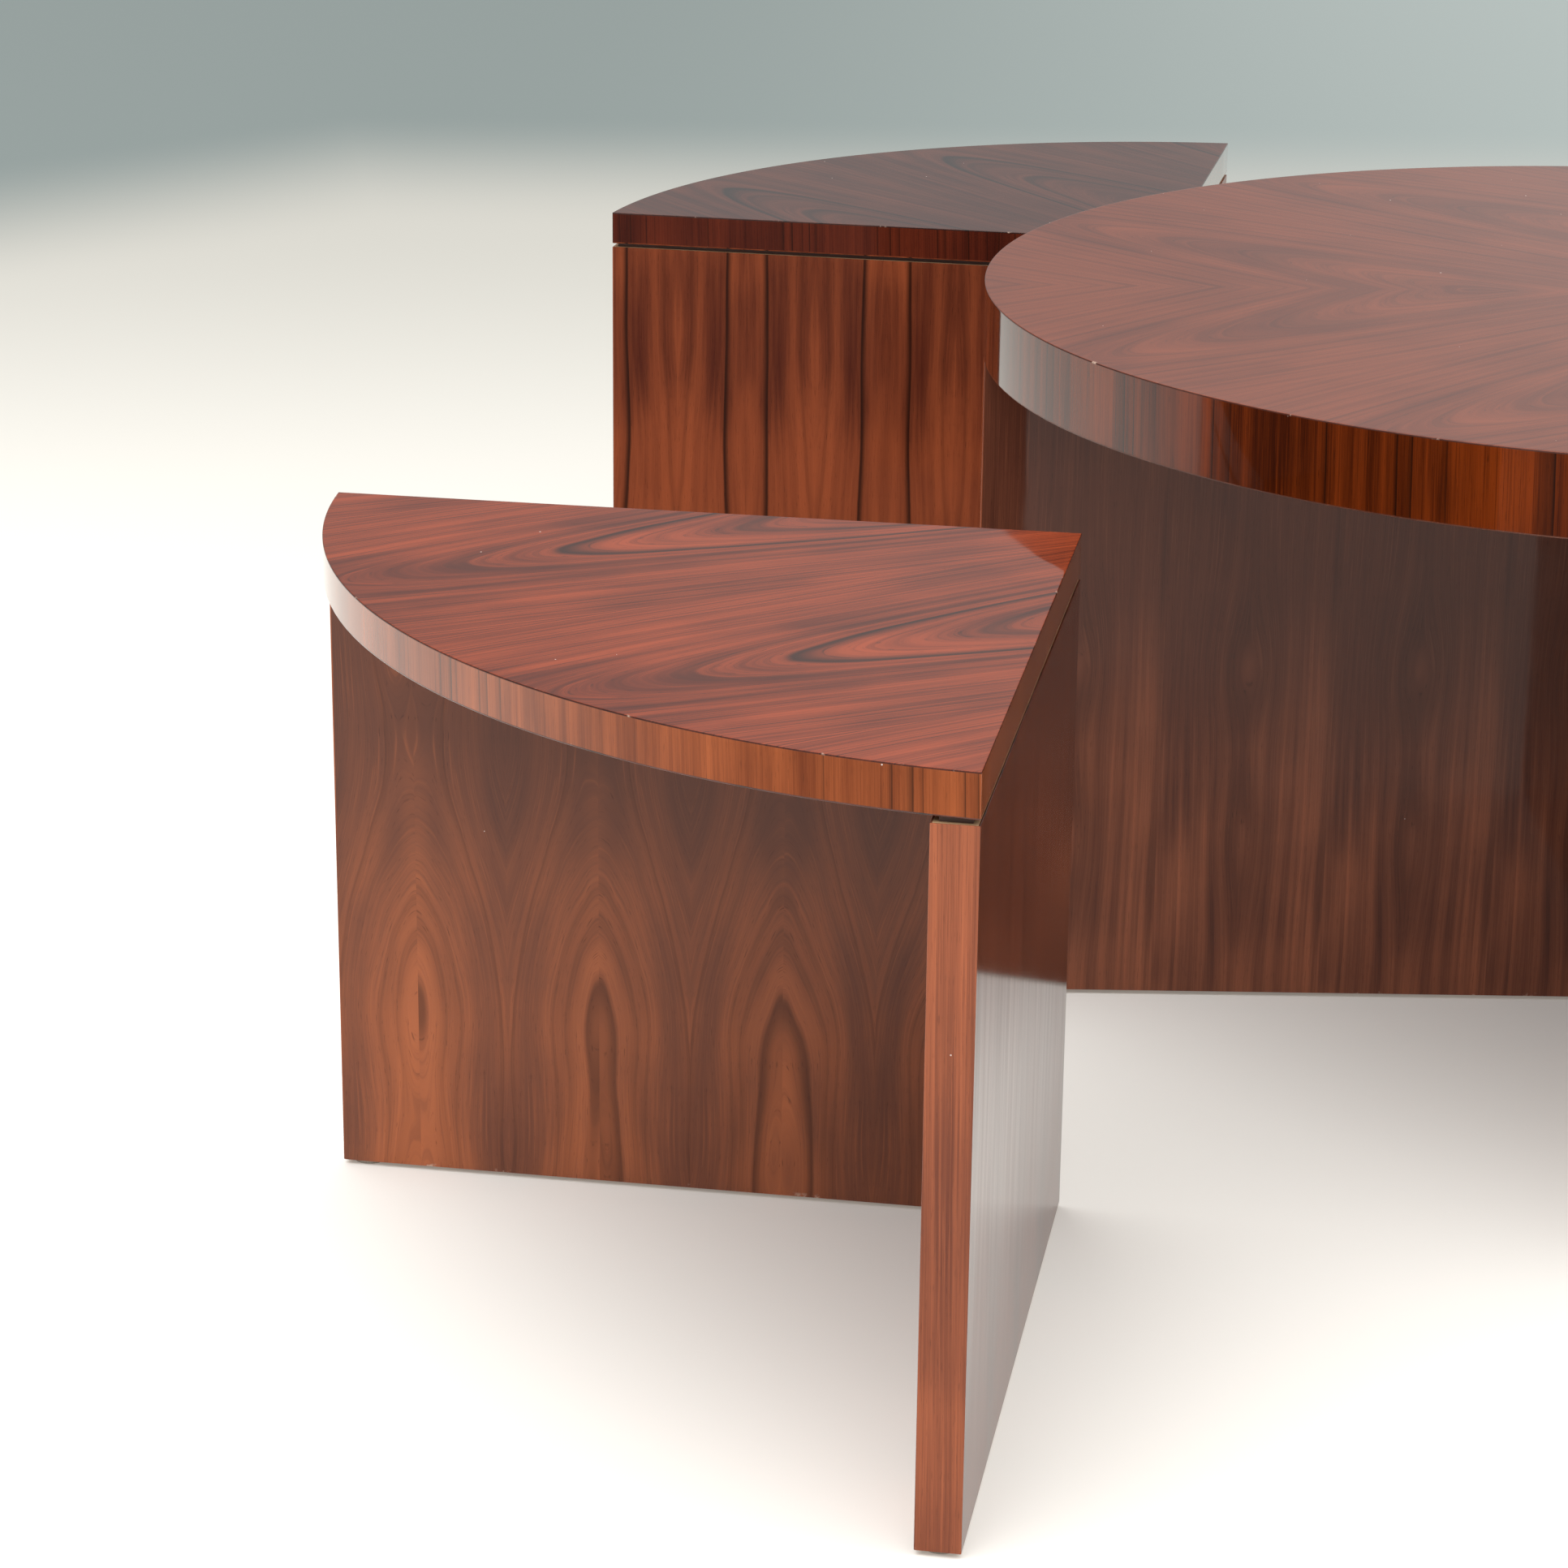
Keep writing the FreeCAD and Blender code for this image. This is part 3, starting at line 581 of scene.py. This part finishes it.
innerWoods = {   # two tones, noise scale, stretch along each axis, roughness
    "boardCore": ((0.42, 0.27, 0.15, 1), (0.30, 0.18, 0.09, 1), 60, (1, 1, 12), 0.65),
    "dowelBeech": ((0.50, 0.34, 0.19, 1), (0.38, 0.23, 0.12, 1), 120, (1, 1, 0.08), 0.55),
    "spacerStain": ((0.045, 0.017, 0.010, 1), (0.070, 0.026, 0.015, 1), 90, (1, 1, 1), 0.6),
    "glideFelt": ((0.42, 0.38, 0.33, 1), (0.30, 0.27, 0.23, 1), 900, (1, 1, 1), 0.8),
}
board, dowelWood, spacerStain, glideFelt = [plainMaterial(name, *look)
                                            for name, look in innerWoods.items()]


def faceLeaf(prefix, loop, shape, spot, look, quartered=False):
    leaf = topLeaf(prefix + "_face_leaf", loop, shape, spot)
    leaf.data.materials.append(topMaterial(prefix + "TopRosewood", spot, look, quartered))
    return leaf


def rimStrip(prefix, loop, shape, spot, look):
    band = rimBand(prefix + "_rim_strip", loop, shape, spot)
    band.data.materials.append(bandMaterial(prefix + "BandRosewood", look["bandSeed"], look["band"]))
    return band


# Sizes are in metres and degrees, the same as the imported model's.
topMaking = {"skin": 0.001, "arris": 0.0007, "bevelSlack": 0.0001, "arrisSteps": 5, "bandInset": 0.003,
             "flatRows": (0.004, 0.05, 0.2, 0.45, 0.75, 1), "flatReach": 0.2}
quarterShape = {
    **topMaking,
    "edgeLength": 0.450,
    "arcSetback": 0.040,      # the arc's centre beyond the square corner
    "height": 0.430,
    "topThickness": 0.025,
    "arcSteps": 190,
    "edgeSteps": 10,
    "cornerSteps": 6,
}
quarterPanels = {"outerStart": -0.0048, "innerStart": -0.0338, "outerBlur": 0.05, "outerGrainDepth": 0.06,
                 "outerSeed": 1.1, "innerSeed": 2.3, "endSeed": 3.1}
quarterTables = {   # square corner's place on the floor and turn, then how each table looks
    "front_left": {"spot": (-0.421, -0.370, -9.2), "turn": 38, "shift": (0.218, 0.0), "seed": 1.7,
                   "bandSeed": 2.1, "top": "top", "band": "band", "outer": "darkPanel"},
    "rear_left": {"spot": (-0.306, 0.511, -100.8), "turn": 47, "shift": (0.20, 0.10), "seed": 4.3,
                  "bandSeed": 4.7, "top": "shadedTop", "band": "redBand", "outer": "redPanel",
                  "gloss": 0.03, "sheen": None},
    "rear_right": {"spot": (0.016, 0.016, 180.0), "turn": 44, "shift": (0.21, 0.05), "seed": 7.9,
                   "bandSeed": 8.3, "top": "top", "band": "band", "outer": "redPanel"},
    "front_right": {"spot": (0.016, -0.016, 90.0), "turn": 41, "shift": (0.19, 0.02), "seed": 11.2,
                    "bandSeed": 11.6, "top": "top", "band": "band", "outer": "redPanel"},
}
commonLook = {"lines": 0.9, "marks": 0.85, "gloss": 0.06, "sheen": (0.0, 1.0)}

quarterOutline = quarterLoop(quarterShape)
for table, own in quarterTables.items():
    body, look = table + "_table", {**commonLook, **own}
    spot, seed = look["spot"], look["seed"]
    leaf = faceLeaf(table, quarterOutline, quarterShape, spot, look)
    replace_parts(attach(leaf, body), table + "_top_face")
    band = rimStrip(table, quarterOutline, quarterShape, spot, look)
    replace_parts(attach(band, body), table + "_edge_bands")
    outer = uprightMaterial(table + "OuterRosewood", spot, look["outer"], "outer",
                            seed + quarterPanels["outerSeed"], quarterPanels["outerStart"],
                            quarterPanels["outerBlur"], quarterPanels["outerGrainDepth"],
                            look["gloss"], look["sheen"])
    inner = uprightMaterial(table + "InnerRosewood", spot, "panel", "inner",
                            seed + quarterPanels["innerSeed"], quarterPanels["innerStart"])
    ends = uprightMaterial(table + "EndRosewood", spot, "end", "end", seed + quarterPanels["endSeed"])
    for part, material in (("outer_sheets", outer), ("inner_sheets", inner), ("end_bands", ends),
                           ("top_backing", outer), ("top_core", board), ("back_core", board),
                           ("side_core", board), ("spacers", spacerStain), ("dowels", dowelWood),
                           ("glides", glideFelt)):
        dress(f"{table}_{part}", material)
    print("dressed", table)

roundShape = {
    **topMaking,
    "radius": 0.46797,
    "height": 0.500,
    "topThickness": 0.050,
    "steps": 360,
}
roundTable = {"spot": (0.0, 0.0, 0.0), "turn": 40, "shift": (0.218, 0.0), "seed": 2.9, "bandSeed": 5.5,
              "top": "softTop", "band": "roundBand", "lines": 0.4, "marks": 0.3,
              "baseSeed": 6.1, "baseStart": 0.0033, "endSeed": 6.9}

roundOutline = roundLoop(roundShape)
leaf = faceLeaf("round", roundOutline, roundShape, roundTable["spot"], roundTable, quartered=True)
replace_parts(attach(leaf, "round_table"), "round_top_face")
band = rimStrip("round", roundOutline, roundShape, roundTable["spot"], roundTable)
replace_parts(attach(band, "round_table"), "round_rim_band")
baseWood = uprightMaterial("baseRosewood", roundTable["spot"], "base", "base", roundTable["baseSeed"],
                           roundTable["baseStart"])
baseEnds = uprightMaterial("baseEndRosewood", roundTable["spot"], "end", "baseEnd", roundTable["endSeed"])
for part, material in (("base_long_sheets", baseWood), ("base_cross_sheets", baseWood),
                       ("round_top_backing", baseWood), ("base_end_bands", baseEnds),
                       ("round_top_core", board), ("base_long_core", board), ("base_cross_core", board),
                       ("base_dowels", dowelWood), ("base_glides", glideFelt)):
    dress(part, material)
print("dressed the round table")

studio = {
    "floorSize": 60.0,
    "floorColour": (0.84, 0.83, 0.80, 1),
    "floorGlow": 0.185,
    "paintedFalloffColour": (0.42, 0.42, 0.395, 1),
    "paintedFalloffBlend": (-0.6, 2.9),      # along Y, where painted shade dims the floor away from the lights
    "paintedBackdropShade": (0.182, 0.217, 0.218, 1),
    "paintedBackdropShadeRight": (0.300, 0.345, 0.345, 1),
    "rightFar": (-1.2, 1.2),
    "straightBlend": (2.7, 3.6),
    "farLine": (-1.9, 2.62),      # where the pale floor turns to the far colour, a painted shade of the backdrop paper
    "farTurn": 44.0,
    "farBlend": (-0.45, 0.30),
    "leftHorizonColour": (0.36, 0.38, 0.38, 1),
    "horizonColour": (0.60, 0.62, 0.61, 1),
    "leftWallColour": (0.41, 0.41, 0.40, 1),
    "rightWallColour": (0.52, 0.54, 0.53, 1),
    "zenithColour": (1.95, 1.88, 1.80, 1),
    "keyPlace": (-1.9, -1.6, 3.2), "keySize": 3.2, "keyPower": 55,
    "fillPlace": (2.6, -1.2, 2.2), "fillSize": 2.0, "fillPower": 12,
    "lightAim": (-0.3, 0, 0.2),
    "floorRoughness": 0.9, "floorSpecular": 0.1,
    # where the surroundings change, by how far aside and how high the view goes
    "horizonAside": (0.04, 0.24), "wallAside": (-0.11, 0.06),
    "wallRise": (0.19, 0.30), "skyRise": (0.35, 0.85),
}
half = studio["floorSize"] / 2
floorMesh = bpy.data.meshes.new("floor")
floorMesh.from_pydata([(-half, -half, 0), (half, -half, 0), (half, half, 0), (-half, half, 0)], [],
                      [(0, 1, 2, 3)])
floor = bpy.data.objects.new("floor", floorMesh)
bpy.context.scene.collection.objects.link(floor)
material, tree, shader = newMaterial("studioPaper")
# painted shade: beyond the far line the paper takes the backdrop's shaded colour, lighter to the right
floorPlace = wire(tree, "Mapping", {
    "Vector": wire(tree, "TexCoord", out=3), "Location": studio["farLine"] + (0,),
    "Rotation": (0, 0, math.radians(studio["farTurn"]))}, vector_type="TEXTURE")
beyond = smooth(tree, split(tree, floorPlace)[1], *studio["farBlend"])
floorX, floorY = split(tree, wire(tree, "TexCoord", out=3))[:2]
# painted shade: the paper darkens along Y, away from the lights
paper = blend(tree, smooth(tree, floorY, *studio["paintedFalloffBlend"]), studio["floorColour"], studio["paintedFalloffColour"])
beyond = sums(tree, "MAXIMUM", beyond, smooth(tree, floorY, *studio["straightBlend"]))
far = blend(tree, smooth(tree, floorX, *studio["rightFar"]), studio["paintedBackdropShade"], studio["paintedBackdropShadeRight"])
paper = blend(tree, beyond, paper, far)
tree.links.new(paper, shader.inputs["Base Color"])
tree.links.new(paper, shader.inputs["Emission Color"])
# the floor glows a little, as painted light that lifts its shadows
shader.inputs["Emission Strength"].default_value = studio["floorGlow"]
shader.inputs["Roughness"].default_value = studio["floorRoughness"]
shader.inputs["Specular IOR Level"].default_value = studio["floorSpecular"]
floor.data.materials.append(material)

world = bpy.data.worlds.new("studio")
bpy.context.scene.world = world
world.use_nodes = True
tree = world.node_tree
aside, _, height = split(tree, wire(tree, "TexCoord"))
horizon = blend(tree, smooth(tree, aside, *studio["horizonAside"]), studio["leftHorizonColour"],
                studio["horizonColour"])
wall = blend(tree, smooth(tree, aside, *studio["wallAside"]), studio["leftWallColour"],
             studio["rightWallColour"])
lowSky = blend(tree, smooth(tree, height, *studio["wallRise"]), horizon, wall)
tree.links.new(blend(tree, smooth(tree, height, *studio["skyRise"]), lowSky, studio["zenithColour"]),
               tree.nodes["Background"].inputs["Color"])


def softLight(name, spot, size, power):
    lamp = bpy.data.lights.new(name, "AREA")
    lamp.energy, lamp.size = power, size
    holder = bpy.data.objects.new(name, lamp)
    holder.location = spot
    holder.rotation_euler = (Vector(studio["lightAim"]) - Vector(spot)).to_track_quat("-Z", "Y").to_euler()
    bpy.context.scene.collection.objects.link(holder)


softLight("keyLight", studio["keyPlace"], studio["keySize"], studio["keyPower"])
softLight("fillLight", studio["fillPlace"], studio["fillSize"], studio["fillPower"])

lens = {"place": (-0.56695, -2.73315, 1.07090), "yaw": 0.6526, "pitch": 18.6673, "roll": 0.5962,
        "length": 95.80, "sensor": 36.0}
yaw, pitch, roll = (math.radians(lens[key]) for key in ("yaw", "pitch", "roll"))
forward = Vector((-math.sin(yaw) * math.cos(pitch), math.cos(yaw) * math.cos(pitch), -math.sin(pitch)))
right = Vector((math.cos(yaw), math.sin(yaw), 0))
up = right.cross(forward)
turnedRight = math.cos(roll) * right + math.sin(roll) * up
turnedUp = -math.sin(roll) * right + math.cos(roll) * up
camera = bpy.data.objects.new("camera", bpy.data.cameras.new("camera"))
camera.data.lens, camera.data.sensor_width = lens["length"], lens["sensor"]
camera.matrix_world = Matrix((turnedRight, turnedUp, -forward)).transposed().to_4x4()
camera.location = lens["place"]
bpy.context.scene.collection.objects.link(camera)
bpy.context.scene.camera = camera
bpy.context.scene.view_settings.view_transform = "Standard"
print("placed the camera and lights")
